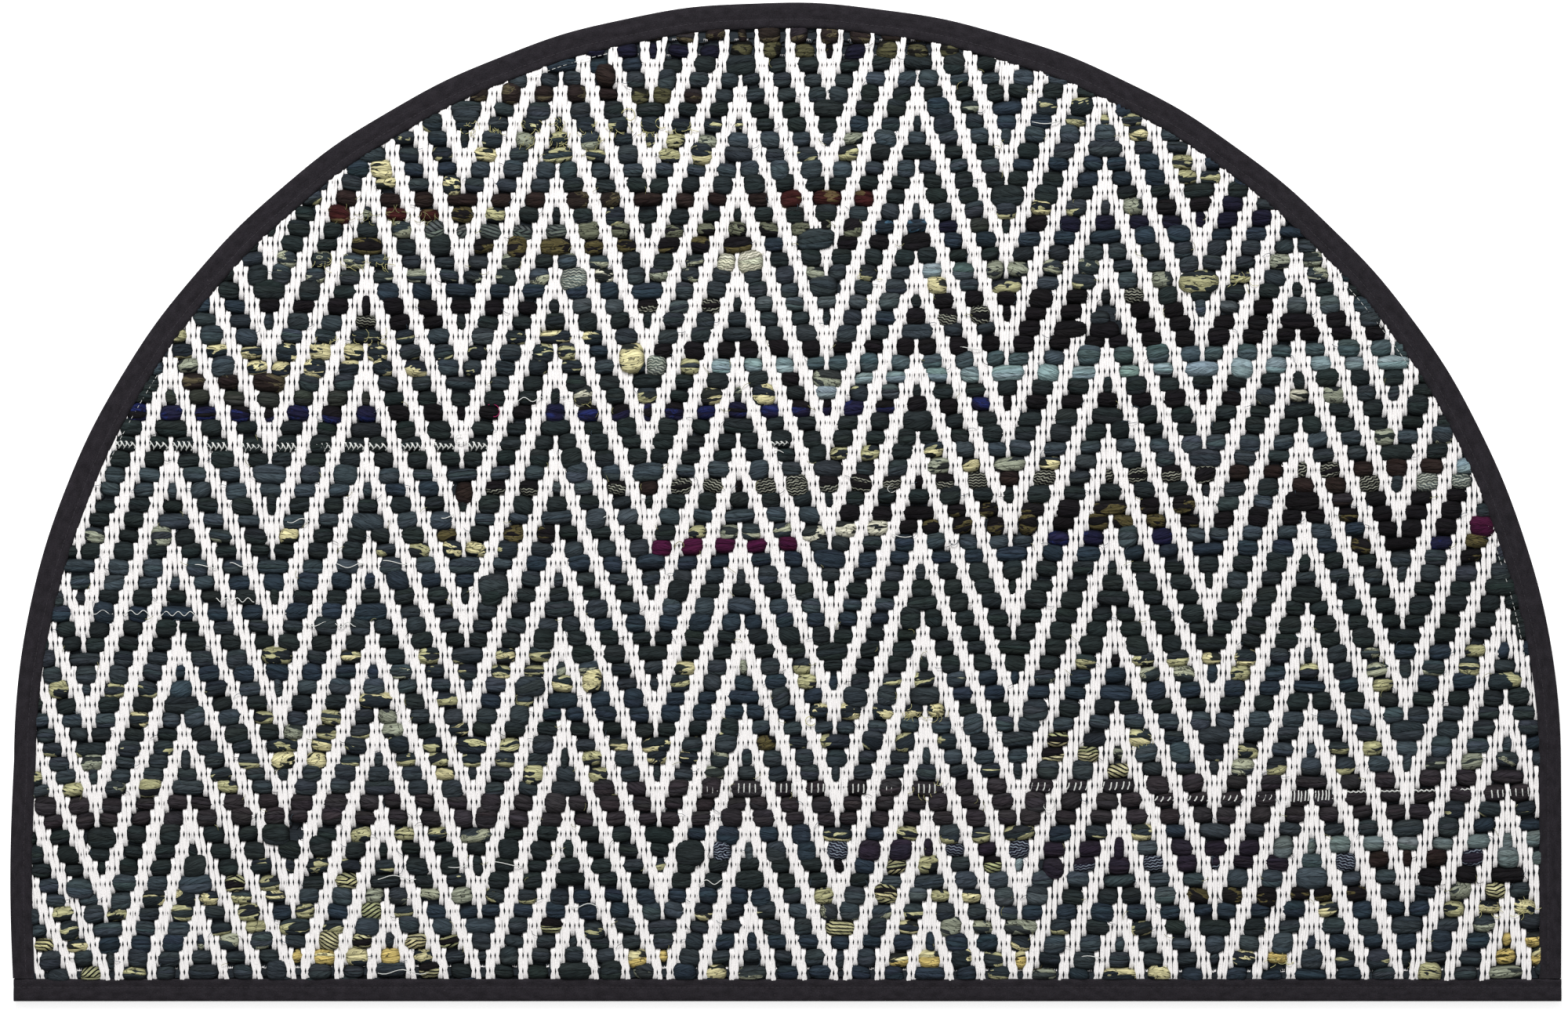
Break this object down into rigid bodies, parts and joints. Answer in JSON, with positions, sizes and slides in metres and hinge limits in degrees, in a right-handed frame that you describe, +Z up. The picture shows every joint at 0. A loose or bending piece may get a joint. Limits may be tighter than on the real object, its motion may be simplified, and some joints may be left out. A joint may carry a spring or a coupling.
{
  "type": "half-moon chindi rug",
  "caption": "Half-moon chindi rug: dark rag picks and white cotton warp woven in zigzags, the whole edge bound in charcoal tape.",
  "frame": {"origin": "middle of the flat underside, at the centre of the rug's length and depth", "axes": "+X along the straight edge to the right, +Y from the straight edge to the top of the arc, +Z up out of the face"},
  "size_m": [0.9023, 0.5812, 0.007],
  "materials": {
    "rag_weave": "matt cut cotton rags, mostly slate navy, black and brown, with olive-yellow and grey print",
    "warp_cotton": "matt white spun cotton yarn, laid in pairs",
    "binding_tape": "matt charcoal cotton tape with a fine weave, slightly linty",
    "sewing_thread": "charcoal cotton sewing thread"
  },
  "bodies": {
    "root": {"woven_field": "rag_weave", "arc_binding": "binding_tape", "straight_binding": "binding_tape"}
  },
  "joints": []
}
